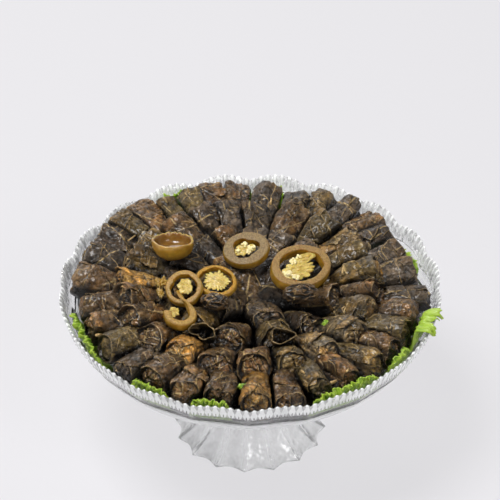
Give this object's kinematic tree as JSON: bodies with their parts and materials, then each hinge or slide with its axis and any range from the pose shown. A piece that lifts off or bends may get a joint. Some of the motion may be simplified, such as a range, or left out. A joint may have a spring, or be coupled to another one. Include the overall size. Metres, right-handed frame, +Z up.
{
  "type": "dolma platter",
  "caption": "Stuffed vine-leaf rolls shingled in rings on a footed pressed-glass platter, with pickled pepper rings on top and frilly lettuce round the edge.",
  "frame": {"origin": "on the table under the middle of the foot, the bottom centre of the bounding box", "axes": "+Z up; -Y is the front, towards the picture's camera; +X to the picture's right"},
  "size_m": [0.2968, 0.2968, 0.1662],
  "materials": {
    "clear_glass": "clear pressed glass, polished",
    "vine_leaf": "cooked vine leaf, dark olive brown, oily sheen",
    "pickled_pepper": "pickled pepper, olive gold, wet",
    "lettuce_leaf": "fresh lettuce leaf, bright yellow green"
  },
  "bodies": {
    "root": {"glass_platter": "clear_glass", "roll_heap": "vine_leaf", "pepper_slice_middle": "pickled_pepper", "pepper_slice_large": "pickled_pepper", "pepper_slice_left": "pickled_pepper", "pepper_slice_small": "pickled_pepper", "pepper_end": "pickled_pepper", "pepper_curl": "pickled_pepper", "lettuce_left": "lettuce_leaf", "lettuce_front_left": "lettuce_leaf", "lettuce_front": "lettuce_leaf", "lettuce_front_right": "lettuce_leaf", "lettuce_right_front": "lettuce_leaf", "lettuce_right": "lettuce_leaf", "lettuce_back_right": "lettuce_leaf", "lettuce_back": "lettuce_leaf", "lettuce_back_left": "lettuce_leaf"}
  },
  "joints": []
}
